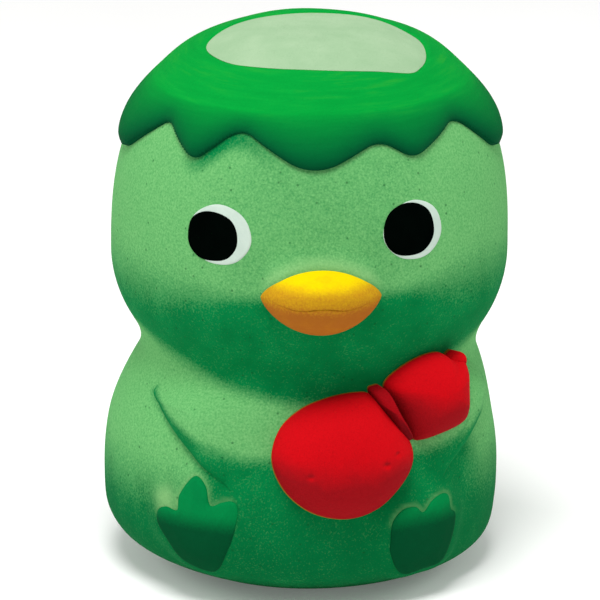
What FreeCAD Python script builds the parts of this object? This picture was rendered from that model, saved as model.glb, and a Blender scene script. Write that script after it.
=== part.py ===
"""A hollow, painted coin bank: a sitting chick in a river imp's cap, hugging a gourd.

Millimetres. +Z is up and -Y is the chick's front. Left and right are the chick's own: its left is +X.
The origin is the centre of the flat ring that the bank stands on.
Head and body are one casting, a form of revolution about Z. Everything on it is placed by its azimuth,
in degrees from the front towards +X, and its height.
"""
import FreeCAD, Part
import math
import os

Vector = FreeCAD.Vector
ORIGIN = Vector(0, 0, 0)
UP = Vector(0, 0, 1)

# Overall height, the casting's wall and floor, and the layers on its crown
HEIGHT = 100.0
WALL = 4.0
FLOOR = 4.4
CAP_THICKNESS = 1.25
DISH_THICKNESS = 1.1

# Head: height and radius at its widest, how far it reaches up and down from there, and the squareness
# of its upper and lower halves, where 2 is an ellipse
HEAD_Z = 59.3
HEAD_R = 36.4
HEAD_UP = HEIGHT - DISH_THICKNESS - HEAD_Z
HEAD_DOWN = 28.0
HEAD_SQUARE = (2.75, 2.0)

# Body: the same, and how softly it meets the head at the neck
BODY_Z = 17.3
BODY_R = 36.3
BODY_UP = 44.0
BODY_DOWN = 18.1
BODY_SQUARE = (2.0, 3.4)
NECK_BLEND = 5.7

# Jagged edge of the cap: (azimuth, height) of its notches and points in turn
CAP_EDGE = [
    (-164, 82.8), (-146, 87.0), (-128, 82.0), (-110, 86.5), (-80, 79.8), (-57, 87.1),
    (-40, 83.0), (-26, 87.8), (-2, 82.4), (20, 86.1), (31, 83.8), (54, 87.3),
    (75, 79.8), (107, 86.5), (124, 82.0), (142, 87.0), (160, 82.5), (178, 87.2),
]
CAP_CUT_APEX = 64.0
CAP_CUT_R = 60.0
CAP_CUT_TOP = 130.0

# Water dish let into the crown of the cap
DISH_X = 0.7
DISH_Y = -6.3
DISH_HALF_WIDTH = 19.1
DISH_HALF_DEPTH = 13.5

# Eyes, inlaid ovals that look to the chick's right: place, half width and half height
EYE_THICKNESS = 0.4
LEFT_WHITE = (28.2, 70.9, 6.1, 5.3)
LEFT_PUPIL = (26.8, 71.1, 5.2, 4.8)
RIGHT_WHITE = (-29.3, 70.3, 6.3, 5.4)
RIGHT_PUPIL = (-31.4, 69.9, 5.1, 4.5)

# Bill: two halves of a pointed oval that meet along the mouth, each with its height and reach
BILL_AZIMUTH = 0.6
MOUTH_Z = 59.6
BILL_HALF_WIDTH = 11.0
UPPER_BILL = (6.1, 7.4)
LOWER_BILL = (6.7, 7.0)
BILL_SINK = 1.5

# Mounds on the casting: place, turn from level, half length, half width and rise
LOWER_BULB = (10.0, 29.8, 20.0, 13.2, 11.4, 8.0)
WAIST_BAND = (25.5, 36.4, 27.0, 1.8, 6.0, 6.0)
UPPER_BULB = (38.5, 38.6, 27.0, 8.2, 7.6, 7.8)
STEM = (48.5, 46.4, 32.0, 3.4, 1.8, 5.4)
RIGHT_WING = (-35.0, 33.0, -24.0, 17.0, 7.2, 4.0)
LEFT_WING = (58.0, 33.0, 24.0, 16.0, 7.4, 4.0)

# Feet, with their soles turned forwards and their heels down: place, and outline from the big toe round
FOOT_THICKNESS = 1.8
RIGHT_FOOT = (-33.0, 13.0)
RIGHT_FOOT_OUTLINE = [
    (0.0, 12.0), (2.4, 10.2), (3.2, 7.2), (6.4, 8.3), (8.4, 6.8), (7.4, 1.6), (4.8, -3.6), (1.1, -5.8),
    (-3.3, -4.4), (-7.4, 0.6), (-8.2, 3.4), (-6.0, 5.1), (-3.4, 5.4), (-2.8, 9.0),
]
LEFT_FOOT = (37.0, 13.0)
LEFT_FOOT_OUTLINE = [
    (1.4, 7.0), (4.0, 6.5), (4.6, 3.9), (5.9, 1.6), (4.4, -3.6), (1.6, -6.1), (-2.2, -6.3), (-5.9, -6.7),
    (-8.2, -3.4), (-8.7, 0.6), (-7.8, 4.6), (-4.8, 6.3), (-1.9, 4.7),
]

# Coin slot through the back of the head, and how far inside the head its cut starts
SLOT_Z = 62.0
SLOT_LENGTH = 34.0
SLOT_HEIGHT = 5.0
SLOT_START = 12.0

# Hole in the floor with a seat below it, and the soft stopper that closes it
HOLE_R = 13.0
SEAT_R = 16.4
SEAT_DEPTH = 2.6
STOPPER_R = 16.0
STOPPER_RECESS = 0.6
STOPPER_NECK_R = 12.5
STOPPER_TIP_R = 11.5
STOPPER_BEAD_R = 12.93
STOPPER_BEAD = (2.8, 4.2)
STOPPER_TOP = 9.0
STOPPER_SKIN = 1.8
STOPPER_HOLLOW_R = 10.6
GRIP_LENGTH = 17.0
GRIP_WIDTH = 3.0

# The small flat at the very top of the crown, and the number of spans in the casting's profile
CROWN_FLAT_R = 3.0
BASE_STEPS = 6
SIDE_STEPS = 10
CROWN_STEPS = 9

# A step small enough to measure a slope, the clearance under each painted coat, and how far a cut overshoots
SMALL = 0.01
PAINT_GAP = 0.02
OVERSHOOT = 1.0


def lobe(z, centre, radius, up, down, square):
    """Radius of an egg-shaped lobe at height z. It turns negative beyond the lobe's ends."""
    reach, power = (up, square[0]) if z > centre else (down, square[1])
    left = 1 - abs((z - centre) / reach) ** power
    return math.copysign(radius * abs(left) ** (1 / power), left)


def skin_radius(z):
    """Radius of the casting at height z: the larger of the head and the body, blended at the neck."""
    head = lobe(z, HEAD_Z, HEAD_R, HEAD_UP, HEAD_DOWN, HEAD_SQUARE)
    body = lobe(z, BODY_Z, BODY_R, BODY_UP, BODY_DOWN, BODY_SQUARE)
    share = min(max(0.5 + 0.5 * (head - body) / NECK_BLEND, 0.0), 1.0)
    return body + (head - body) * share + NECK_BLEND * share * (1 - share)


def skin_normal(z):
    """The outward and upward parts of the casting's unit normal at height z."""
    slope = (skin_radius(z + SMALL) - skin_radius(z - SMALL)) / (2 * SMALL)
    length = math.hypot(1.0, slope)
    return 1 / length, -slope / length


def skin_frame(azimuth, z):
    """A point on the casting, with the unit vectors there: sideways, up along the skin, and outwards."""
    a = math.radians(azimuth)
    radial = Vector(math.sin(a), -math.cos(a), 0)
    side = Vector(math.cos(a), math.sin(a), 0)
    outward, upward = skin_normal(z)
    normal = radial * outward + UP * upward
    return radial * skin_radius(z) + UP * z, side, normal.cross(side), normal


def on_skin(shape, azimuth, z, turn=0.0):
    """Set a shape that is drawn about the origin on the casting, with its x sideways and its z outwards."""
    point, side, up, normal = skin_frame(azimuth, z)
    shape.rotate(ORIGIN, UP, turn)
    rows = zip(side, up, normal, point)
    return shape.transformed(FreeCAD.Matrix(*[value for row in rows for value in row], 0, 0, 0, 1))


def profile_heights():
    """Heights of the profile's points, set closer where it turns in to the base and to the crown."""
    base_turn = math.asin((BODY_Z / BODY_DOWN) ** (BODY_SQUARE[1] / 2))
    crown_turn = math.acos((CROWN_FLAT_R / HEAD_R) ** (HEAD_SQUARE[0] / 2))
    base_turns = [base_turn * i / BASE_STEPS for i in range(BASE_STEPS, 0, -1)]
    crown_turns = [crown_turn * i / CROWN_STEPS for i in range(1, CROWN_STEPS)]
    base = [BODY_Z - BODY_DOWN * math.sin(turn) ** (2 / BODY_SQUARE[1]) for turn in base_turns]
    side = [BODY_Z + (HEAD_Z - BODY_Z) * i / SIDE_STEPS for i in range(SIDE_STEPS + 1)]
    crown = [HEAD_Z + HEAD_UP * math.sin(turn) ** (2 / HEAD_SQUARE[0]) for turn in crown_turns]
    return base + side + crown


def casting(offset=0.0):
    """The solid inside the casting's outer surface, moved outwards by the offset, with a flat on its crown."""
    points = []
    for z in profile_heights():
        outward, upward = skin_normal(z)
        points.append(Vector(skin_radius(z) + offset * outward, 0, z + offset * upward))
    points.append(Vector(CROWN_FLAT_R, 0, HEAD_Z + HEAD_UP + offset))
    curve = Part.BSplineCurve()
    curve.interpolate(Points=points, FinalTangent=Vector(-1, 0, 0))
    foot = UP * points[0].z
    top = UP * points[-1].z
    base = Part.LineSegment(foot, points[0])
    flat = Part.LineSegment(points[-1], top)
    axis = Part.LineSegment(top, foot)
    outline = Part.Wire([edge.toShape() for edge in (base, curve, flat, axis)])
    return Part.Face(outline).revolve(ORIGIN, UP, 360)


CORE = casting()
UNDER_PAINT = casting(PAINT_GAP)


def coat(thickness, area):
    """A layer on the casting, out to that thickness, inside the given solid."""
    return casting(thickness).common(area).cut(UNDER_PAINT)


def ellipsoid(half_x, half_y, half_z):
    """An ellipsoid about the origin."""
    scale = FreeCAD.Matrix()
    scale.scale(half_x, half_y, half_z)
    return Part.makeSphere(1.0).transformGeometry(scale)


def oval_prism(half_x, half_y, depth):
    """An upright elliptical prism about the origin."""
    if half_x >= half_y:
        curve = Part.Ellipse(Vector(half_x, 0, 0), Vector(0, half_y, 0), ORIGIN)
    else:
        curve = Part.Ellipse(Vector(0, half_y, 0), Vector(-half_x, 0, 0), ORIGIN)
    prism = Part.Face(Part.Wire([curve.toShape()])).extrude(UP * depth)
    prism.translate(UP * (-depth / 2))
    return prism


def stopper_hole():
    """The stepped hole through the floor."""
    start = UP * -OVERSHOOT
    seat = Part.makeCylinder(SEAT_R, SEAT_DEPTH + OVERSHOOT, start)
    return seat.fuse(Part.makeCylinder(HOLE_R, 2 * FLOOR, start))


def body_shell():
    """The casting, hollow, with its coin slot and the hole in its floor."""
    inside = casting(-WALL)
    size = 4 * HEAD_R
    inside = inside.cut(Part.makeBox(size, size, size, Vector(-size / 2, -size / 2, FLOOR - size)))
    straight = SLOT_LENGTH - SLOT_HEIGHT
    slot = Part.makeBox(straight, HEAD_R, SLOT_HEIGHT)
    slot.translate(Vector(-straight / 2, SLOT_START, SLOT_Z - SLOT_HEIGHT / 2))
    for end in (-1, 1):
        centre = Vector(end * straight / 2, SLOT_START, SLOT_Z)
        slot = slot.fuse(Part.makeCylinder(SLOT_HEIGHT / 2, HEAD_R, centre, Vector(0, 1, 0)))
    return CORE.cut(inside).cut(stopper_hole()).cut(slot.removeSplitter())


def cap_area():
    """The space over the cap's jagged edge: a fan of flat facets about the axis, closed above."""
    apex = UP * CAP_CUT_APEX
    roof = UP * CAP_CUT_TOP
    rim = []
    for azimuth, z in CAP_EDGE:
        a = math.radians(azimuth)
        climb = (z - CAP_CUT_APEX) * CAP_CUT_R / skin_radius(z)
        rim.append(Vector(CAP_CUT_R * math.sin(a), -CAP_CUT_R * math.cos(a), CAP_CUT_APEX + climb))
    faces = []
    for here, there in zip(rim, rim[1:] + rim[:1]):
        here_up = Vector(here.x, here.y, CAP_CUT_TOP)
        there_up = Vector(there.x, there.y, CAP_CUT_TOP)
        for corners in ((apex, there, here), (here, there, there_up, here_up), (roof, here_up, there_up)):
            faces.append(Part.Face(Part.makePolygon(corners + corners[:1])))
    return Part.Solid(Part.Shell(faces))


def dish_area():
    """The upright prism that the dish fills."""
    area = oval_prism(DISH_HALF_WIDTH, DISH_HALF_DEPTH, HEIGHT)
    area.translate(Vector(DISH_X, DISH_Y, HEIGHT))
    return area


def eye_area(azimuth, z, half_width, half_height):
    return on_skin(oval_prism(half_width, half_height, 2 * WALL), azimuth, z)


def eye(white, pupil):
    """The white and the pupil of one eye, side by side in one thin layer."""
    pupil_area = eye_area(*pupil)
    return coat(EYE_THICKNESS, eye_area(*white)).cut(pupil_area), coat(EYE_THICKNESS, pupil_area)


def bill_half(half_height, reach, sign):
    """One half of the bill: a flattened, pointed spindle across the face, on one side of the mouth."""
    tip = Vector(BILL_HALF_WIDTH, 0, 0)
    arc = Part.Arc(tip * -1, Vector(0, 0, sign), tip)
    axis = Part.LineSegment(tip, tip * -1)
    spindle = Part.Face(Part.Wire([arc.toShape(), axis.toShape()])).revolve(ORIGIN, tip, 360)
    scale = FreeCAD.Matrix()
    scale.scale(1, reach + BILL_SINK, half_height)
    spindle = spindle.transformGeometry(scale)
    size = 2 * BILL_HALF_WIDTH
    keep = Part.makeBox(2 * size, 2 * size, size, Vector(-size, -size, min(sign, 0) * size))
    half = spindle.common(keep)
    half.translate(Vector(0, BILL_SINK - skin_radius(MOUTH_Z), MOUTH_Z))
    half.rotate(ORIGIN, UP, BILL_AZIMUTH)
    return half.cut(CORE)


def mound(azimuth, z, turn, half_length, half_width, rise):
    """A half-sunk ellipsoid on the casting."""
    return on_skin(ellipsoid(half_length, half_width, rise), azimuth, z, turn)


def foot(place, outline):
    """A webbed foot of even thickness: a tapering sole with round toes."""
    edge = Part.BSplineCurve()
    edge.interpolate(Points=[Vector(x, y, 0) for x, y in outline], PeriodicFlag=True)
    sole = Part.Face(Part.Wire([edge.toShape()])).extrude(UP * 4 * WALL)
    sole.translate(UP * -2 * WALL)
    return coat(FOOT_THICKNESS, on_skin(sole, *place))


def base_stopper():
    """A soft cup-shaped stopper: flange below the floor, bead in the hole and a grip bar across its foot."""
    neck_low, neck_high = STOPPER_BEAD
    outline = [
        (0, SEAT_DEPTH), (STOPPER_HOLLOW_R, SEAT_DEPTH), (STOPPER_HOLLOW_R, STOPPER_RECESS),
        (STOPPER_R, STOPPER_RECESS), (STOPPER_R, SEAT_DEPTH - SMALL), (STOPPER_NECK_R, SEAT_DEPTH - SMALL),
        (STOPPER_BEAD_R, neck_low), (STOPPER_BEAD_R, neck_high), (STOPPER_NECK_R, neck_high + STOPPER_SKIN),
        (STOPPER_TIP_R, STOPPER_TOP), (STOPPER_HOLLOW_R, STOPPER_TOP),
        (STOPPER_HOLLOW_R, SEAT_DEPTH + STOPPER_SKIN), (0, SEAT_DEPTH + STOPPER_SKIN), (0, SEAT_DEPTH),
    ]
    section = Part.Face(Part.makePolygon([Vector(r, 0, z) for r, z in outline]))
    stopper = section.revolve(ORIGIN, UP, 360)
    corner = Vector(-GRIP_LENGTH / 2, -GRIP_WIDTH / 2, STOPPER_RECESS)
    grip = Part.makeBox(GRIP_LENGTH, GRIP_WIDTH, SEAT_DEPTH - STOPPER_RECESS, corner)
    return stopper.fuse(grip).removeSplitter()


def model():
    """Every node by name."""
    nodes = {"body_shell": body_shell()}
    dish = dish_area()
    nodes["cap"] = coat(CAP_THICKNESS, cap_area()).cut(dish)
    nodes["dish"] = coat(DISH_THICKNESS, dish)
    nodes["left_eye_white"], nodes["left_pupil"] = eye(LEFT_WHITE, LEFT_PUPIL)
    nodes["right_eye_white"], nodes["right_pupil"] = eye(RIGHT_WHITE, RIGHT_PUPIL)
    nodes["upper_bill"] = bill_half(*UPPER_BILL, 1)
    nodes["lower_bill"] = bill_half(*LOWER_BILL, -1)

    # Where two mounds meet, the one named first keeps its whole shape
    mounds = {
        "gourd_lower_bulb": LOWER_BULB, "gourd_upper_bulb": UPPER_BULB, "gourd_waist_band": WAIST_BAND,
        "gourd_stem": STEM, "right_wing": RIGHT_WING, "left_wing": LEFT_WING,
    }
    taken = CORE
    for name, place_and_size in mounds.items():
        shape = mound(*place_and_size)
        nodes[name] = shape.cut(taken)
        taken = taken.fuse(shape)

    nodes["right_foot"] = foot(RIGHT_FOOT, RIGHT_FOOT_OUTLINE)
    nodes["left_foot"] = foot(LEFT_FOOT, LEFT_FOOT_OUTLINE)
    nodes["base_stopper"] = base_stopper()
    return nodes


os.makedirs("parts", exist_ok=True)
for node, solid in model().items():
    solid.exportStep(f"parts/{node}.step")
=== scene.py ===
"""The looks of the chick coin bank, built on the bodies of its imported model.

The model's millimetres are used throughout and become metres when a mesh is made. +Z is up and -Y is
the front. Head and body are a form of revolution, so everything on it is placed by azimuth (degrees from
the front towards +X) and height, or by a chart about such a place: u runs sideways and v up the skin.
Pairs that go to smoothstep are the ends of a soft step, which falls where the first is the greater.
"""

import math
from types import SimpleNamespace

import bmesh
import bpy
import numpy as np
from mathutils import Matrix, Vector


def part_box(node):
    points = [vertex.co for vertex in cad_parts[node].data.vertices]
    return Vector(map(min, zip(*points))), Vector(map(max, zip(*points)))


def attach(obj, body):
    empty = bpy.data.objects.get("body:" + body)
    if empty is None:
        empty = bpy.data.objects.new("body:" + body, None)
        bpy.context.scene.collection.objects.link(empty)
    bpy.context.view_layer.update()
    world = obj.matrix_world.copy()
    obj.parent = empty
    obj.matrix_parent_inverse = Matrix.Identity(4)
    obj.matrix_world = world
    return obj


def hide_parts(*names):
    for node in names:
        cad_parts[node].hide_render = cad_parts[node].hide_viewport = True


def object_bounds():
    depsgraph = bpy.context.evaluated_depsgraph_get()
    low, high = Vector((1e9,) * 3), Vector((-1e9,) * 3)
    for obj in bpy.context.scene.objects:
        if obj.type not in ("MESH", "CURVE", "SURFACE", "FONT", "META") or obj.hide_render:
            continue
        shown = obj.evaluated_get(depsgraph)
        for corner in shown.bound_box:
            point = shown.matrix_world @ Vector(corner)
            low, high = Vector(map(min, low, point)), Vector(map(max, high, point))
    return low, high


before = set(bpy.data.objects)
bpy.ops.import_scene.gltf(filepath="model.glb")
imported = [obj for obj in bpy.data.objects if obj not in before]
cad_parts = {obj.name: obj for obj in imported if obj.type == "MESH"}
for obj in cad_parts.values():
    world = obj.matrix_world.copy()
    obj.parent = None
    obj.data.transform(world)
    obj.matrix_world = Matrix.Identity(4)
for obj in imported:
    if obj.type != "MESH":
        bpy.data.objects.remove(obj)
cad_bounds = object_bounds()

# A millimetre and the distance at which points are welded, in metres, and stand-ins for endless and none
MM = 0.001
WELD = 1e-7
FAR = 1e9
TINY = 1e-12
RNG = np.random.default_rng(7)

# The casting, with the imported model's own driving dimensions
HEIGHT = cad_bounds[1].z / MM
WALL = 4.0
FLOOR = 4.4
DISH_THICKNESS = 1.1
HEAD_Z = 59.3
HEAD_R = 36.4
HEAD_UP = HEIGHT - DISH_THICKNESS - HEAD_Z
HEAD_DOWN = 28.0
HEAD_SQUARE = (2.75, 2.0)
BODY_Z = 17.3
BODY_R = 36.3
BODY_UP = 44.0
BODY_DOWN = 18.1
BODY_SQUARE = (2.0, 3.4)
NECK_BLEND = 5.7

# The belly leans to the chick's right: sideways shift, and the heights where it comes and goes
LEAN = -1.9
LEAN_FROM = (0.0, 12.0)
LEAN_TO = (26.0, 46.0)

# Edge of the cap: azimuth, height and the degrees over which each notch or point is rounded off
CAP_EDGE = [
    (-164, 82.3, 4), (-146, 87.3, 5), (-128, 81.5, 4), (-110, 86.8, 4), (-80.3, 79.0, 6),
    (-56.7, 87.6, 3.5), (-40.5, 82.2, 3), (-26.4, 88.6, 5), (-1.6, 81.3, 8), (20.6, 86.8, 5),
    (31.4, 83.0, 3.5), (54.4, 87.9, 5), (74.6, 79.0, 6), (107, 87.0, 4), (124, 81.5, 4), (142, 87.3, 5),
    (160, 82.0, 4), (178, 87.5, 4),
]

# The cap's coat: its thickness at the top and where it hangs, the heights between, how far its edge is
# rounded, and how far and by what share it thins towards the dish
CAP_THICKNESS = 1.4
CAP_LIP_THICKNESS = 2.5
CAP_LIP_FROM = (91.0, 80.0)
CAP_LIP = 3.4
CAP_RIM = 1.2
CAP_RIM_THIN = 0.25

# Eyes: azimuth, height, half width and half height of each oval, its thickness and how square it is. Their
# edges are rounded and wave a little (waves, and share of the size), and they go into the skin
EYES = {
    "left_white": ((28.2, 70.9, 6.1, 5.3), 0.16, 2.0), "right_white": ((-29.3, 70.3, 6.3, 5.4), 0.16, 2.0),
    "left_black": ((26.8, 71.1, 5.2, 4.8), 0.30, 2.15), "right_black": ((-31.4, 69.9, 5.1, 4.5), 0.30, 2.3),
}
EYE_EDGE = 0.5
EYE_SINK = 0.5
EYE_WAVES = [(3, 0.008), (7, 0.006)]

# Bill: it starts a little in the skin, and its ridge droops and tapers to the sides. The mouth is wavy, its
# lips roll in by a width and a depth, and the lower half is set back
BILL_AZIMUTH = 0.6
BILL_HALF_WIDTH = 10.8
BILL_REACH = 7.4
BILL_SINK = 1.5
BILL_BACK = 0.6
RIDGE_Z = 61.4
MOUTH_Z = 59.6
BILL_TOP_Z = 65.7
BILL_BOTTOM_Z = 52.9
BILL_DROOP = 1.6
BILL_TAPER = 0.7
REACH_TAPER = 0.9
LEAST_REACH = 0.02
MOUTH_WAVE = 0.3
MOUTH_WAVES = 7.0
LIP_ROLL_WIDTH = 0.35
LIP_ROLL_DEPTH = 0.22
LOWER_SET_BACK = 0.06

# The wings: place, size and -1 for the mirror image
WINGS = {"right_wing": ((-38.0, 34.0), 1.0, 1), "left_wing": ((57.0, 33.0), 0.95, -1)}

# Coin slot, floor hole and stopper seat
SLOT_Z = 62.0
SLOT_LENGTH = 34.0
SLOT_HEIGHT = 5.0
HOLE_R = 13.0
SEAT_R = 16.4
SEAT_DEPTH = 2.6


# ---- shape of the skin

def smoothstep(low, high, x):
    t = np.clip((x - low) / (high - low), 0.0, 1.0)
    return t * t * (3.0 - 2.0 * t)


def ramp(x, low, high, at_low, at_high):
    """A soft change from one value to another between two places."""
    return at_low + (at_high - at_low) * smoothstep(low, high, x)


def bump(x, low, middle, high):
    """A soft bump: 0 at low and high, 1 in the middle."""
    return smoothstep(low, middle, x) * smoothstep(high, middle, x)


def direction(azimuth, elevation):
    """The unit vector that points from the axis towards an azimuth and an elevation, in degrees."""
    a, e = math.radians(azimuth), math.radians(elevation)
    return np.array([math.sin(a) * math.cos(e), -math.cos(a) * math.cos(e), math.sin(e)])


def lobe(z, centre, radius, up, down, square):
    """Radius of an egg-shaped lobe at heights z. It turns negative beyond the lobe's ends."""
    above = z > centre
    reach = np.where(above, up, down)
    power = np.where(above, square[0], square[1])
    left = 1.0 - np.abs((z - centre) / reach) ** power
    return np.sign(left) * radius * np.abs(left) ** (1.0 / power)


def skin_radius(z):
    """Radius of the casting at heights z: the larger of the head and the body, blended at the neck."""
    head = lobe(z, HEAD_Z, HEAD_R, HEAD_UP, HEAD_DOWN, HEAD_SQUARE)
    body = lobe(z, BODY_Z, BODY_R, BODY_UP, BODY_DOWN, BODY_SQUARE)
    share = np.clip(0.5 + 0.5 * (head - body) / NECK_BLEND, 0.0, 1.0)
    return body + (head - body) * share + NECK_BLEND * share * (1.0 - share)


def meridian(base_steps=400, steps=900):
    """The casting's profile from its base edge to its crown: radius, height, length so far and normal."""
    base_turn = math.asin((BODY_Z / BODY_DOWN) ** (BODY_SQUARE[1] / 2))
    base = BODY_Z - BODY_DOWN * np.sin(np.linspace(base_turn, 0, base_steps)) ** (2 / BODY_SQUARE[1])
    side = np.linspace(BODY_Z, HEAD_Z, steps)[1:-1]
    crown = HEAD_Z + HEAD_UP * np.sin(np.linspace(0, math.pi / 2, steps)) ** (2 / HEAD_SQUARE[0])
    z = np.concatenate([base, side, crown])
    r = np.maximum(skin_radius(z), 0.0)
    r[-1] = 0.0
    step = np.hypot(np.diff(r), np.diff(z))
    length = np.concatenate([[0.0], np.cumsum(step)])
    outward = np.gradient(z, length)
    upward = -np.gradient(r, length)
    size = np.hypot(outward, upward)
    return r, z, length, outward / size, upward / size


SKIN_R, SKIN_Z, SKIN_S, SKIN_OUT, SKIN_UP = meridian()
SKIN_END = SKIN_S[-1]


def length_at(z):
    """Length up the skin at heights z."""
    return np.interp(z, SKIN_Z, SKIN_S)


def crown_length(radius):
    """Length up the skin where the crown has a radius."""
    crown = SKIN_S > length_at(HEAD_Z)
    return np.interp(-radius, -SKIN_R[crown], SKIN_S[crown])


def chart(azimuth, z, angle, along):
    """Chart coordinates about a place, for points given by angle (radians) and length up the skin."""
    turn = angle - math.radians(azimuth)
    turn = (turn + math.pi) % (2 * math.pi) - math.pi
    return turn * float(np.interp(z, SKIN_Z, SKIN_R)), along - length_at(z)


def curve(points, per_span=12):
    """A smooth closed curve through points of any dimension, by Catmull-Rom."""
    p = np.asarray(points, float)
    p = np.concatenate([p[-1:], p, p[:2]])
    t = (np.arange(per_span) / per_span)[:, None]
    spans = []
    for a, b, c, d in zip(p, p[1:], p[2:], p[3:]):
        square = 2 * a - 5 * b + 4 * c - d
        cube = 3 * b - a - 3 * c + d
        spans.append(0.5 * (2 * b + (c - a) * t + square * t ** 2 + cube * t ** 3))
    return np.concatenate(spans)


def distance_to(u, v, outline):
    """Distance from points to a closed outline, negative inside it."""
    p = np.stack([np.ravel(u), np.ravel(v)], -1)
    best = np.full(len(p), FAR)
    inside = np.zeros(len(p), bool)
    for start, end in zip(outline, np.roll(outline, -1, axis=0)):
        edge = end - start
        t = np.clip(((p - start) @ edge) / max(edge @ edge, TINY), 0.0, 1.0)
        best = np.minimum(best, np.hypot(*(p - start - t[:, None] * edge).T))
        if start[1] != end[1]:
            crosses = (p[:, 1] < start[1]) != (p[:, 1] < end[1])
            inside ^= crosses & (p[:, 0] < start[0] + (p[:, 1] - start[1]) / edge[1] * edge[0])
    return np.where(inside, -best, best).reshape(np.shape(u))


# Outline of the water dish in plan, how far its middle is hollowed, and how far its underside and the cap's
# lie in the skin
DISH_OUTLINE = curve([
    (-18.4, -5.3), (-16.6, -11.2), (-12.6, -16.0), (-5.0, -19.4), (5.0, -19.8), (15.4, -16.6),
    (18.8, -12.6), (19.9, -7.0), (18.6, -0.6), (12.6, 4.8), (3.6, 7.2), (-4.6, 6.8), (-12.6, 4.0),
    (-16.8, 0.0),
], per_span=24)
DISH_HOLLOW = 0.25
COAT_SINK = 0.7

# The feet: place (azimuth, height), and outline about it
FEET = {
    "right_foot": ((-33.0, 13.0), curve([
        (-0.1, 12.0), (2.2, 10.6), (3.2, 7.2), (5.4, 8.0), (7.4, 8.4), (8.4, 6.9), (7.4, 1.6),
        (5.4, -2.8), (3.4, -5.1), (1.1, -5.8), (-3.3, -4.4), (-5.7, -1.2), (-8.0, 1.8), (-7.9, 4.2),
        (-6.0, 5.3), (-3.5, 5.2), (-3.0, 8.2),
    ])),
    "left_foot": ((37.0, 13.0), curve([
        (-8.6, -0.1), (-8.2, 3.8), (-6.2, 5.9), (-3.6, 6.0), (-1.9, 4.7), (-0.1, 6.3), (2.2, 7.2),
        (3.9, 6.6), (4.6, 3.9), (5.8, 2.6), (5.4, -0.8), (4.2, -3.7), (2.2, -5.9), (-1.9, -6.3),
        (-5.5, -6.8), (-7.4, -5.2), (-8.5, -1.8),
    ])),
}

# The mound under a foot: half width and half height of the chart that holds it, its height and reach, and
# the length up the skin over which it grows
FOOT_CHART = (17.0, 19.0)
FOOT_MOUND = 1.3
FOOT_MOUND_REACH = 5.0
FOOT_MOUND_GROWS = (0.0, 7.0)

# The brow of skin over the bill: its height, how far up it reaches and how steeply it falls off, where it
# begins and how it narrows at the sides
BROW_LIFT = 1.5
BROW_REACH = 2.4
BROW_FALL = 1.5
BROW_FROM = (-7.0, 0.0)
BROW_SIDES = (BILL_HALF_WIDTH + 1.5, BILL_HALF_WIDTH - 4.5)

# The crown and shoulders are a little fuller, and the base and belly tighter, than in the plain form:
# sizes, and the heights where they come and go
CROWN_LIFT = 0.55
CROWN_SPAN = (96.8, 98.7)
SHOULDER_LIFT = 0.55
SHOULDER_SPAN = (91.0, 96.0)
BASE_BEVEL = 0.5
BASE_BEVEL_SPAN = (0.0, 2.0, 7.0)
BELLY_DROP = 0.15
BELLY_DROP_SPAN = (0.0, 7.0, 24.0)

# The pressed-in rim of the coin slot
SLOT_SINK = 0.66
SLOT_SINK_REACH = 2.2

# Hand-made unevenness: waves round the axis, radians per millimetre up the skin and size, and how far from
# the base and from the crown it fades
WOBBLES = [(2, 0.040, 0.14), (3, 0.075, 0.10), (5, 0.11, 0.07), (1, 0.16, 0.06), (4, 0.20, 0.05)]
WOBBLE_PHASES = RNG.uniform(0, 2 * math.pi, (len(WOBBLES), 2))
WOBBLE_FADES = (12.0, 20.0)


def bill_top_edge(u):
    """How far the bill's upper outline is above its ridge at a sideways distance u."""
    return (BILL_TOP_Z - RIDGE_Z) * np.clip(1.0 - (u / BILL_HALF_WIDTH) ** 2, 0.0, 1.0)


def near_foot(u, v):
    return (np.abs(u) < FOOT_CHART[0]) & (np.abs(v) < FOOT_CHART[1])


def skin_lift(angle, along):
    """How far the modelled skin stands off the plain form: hand-made unevenness and soft mounds."""
    lift = np.zeros(np.broadcast(angle, along).shape)
    for (turns, pace, size), (phase_a, phase_b) in zip(WOBBLES, WOBBLE_PHASES):
        lift = lift + size * np.cos(turns * angle + phase_a) * np.cos(pace * along + phase_b)
    low_fade, high_fade = WOBBLE_FADES
    lift = lift * smoothstep(0, low_fade, along) * smoothstep(0, high_fade, SKIN_END - along)

    z = np.interp(along, SKIN_S, SKIN_Z)
    lift = lift + SHOULDER_LIFT * smoothstep(*SHOULDER_SPAN, z) + CROWN_LIFT * smoothstep(*CROWN_SPAN, z)
    lift = lift - BASE_BEVEL * bump(z, *BASE_BEVEL_SPAN) - BELLY_DROP * bump(z, *BELLY_DROP_SPAN)

    u, v = chart(BILL_AZIMUTH, RIDGE_Z, angle, along)
    gap = np.maximum(v - bill_top_edge(u), 0.0)
    brow = np.exp(-(gap / BROW_REACH) ** BROW_FALL) * smoothstep(*BROW_SIDES, np.abs(u))
    lift = lift + BROW_LIFT * brow * smoothstep(*BROW_FROM, v)

    for foot, outline in FEET.values():
        u, v = chart(*foot, angle, along)
        near = near_foot(u, v)
        if np.any(near):
            away = distance_to(u[near], v[near], outline)
            mound = np.zeros(lift.shape)
            mound[near] = FOOT_MOUND * (1.0 - smoothstep(0, FOOT_MOUND_REACH, away))
            lift = lift + mound * smoothstep(*FOOT_MOUND_GROWS, along)

    u, v = chart(180.0, SLOT_Z, angle, along)
    past_end = np.maximum(np.abs(u) - (SLOT_LENGTH - SLOT_HEIGHT) / 2, 0.0)
    away = np.hypot(past_end, v) - SLOT_HEIGHT / 2
    return lift - SLOT_SINK * (1.0 - smoothstep(0, SLOT_SINK_REACH, away))


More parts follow.
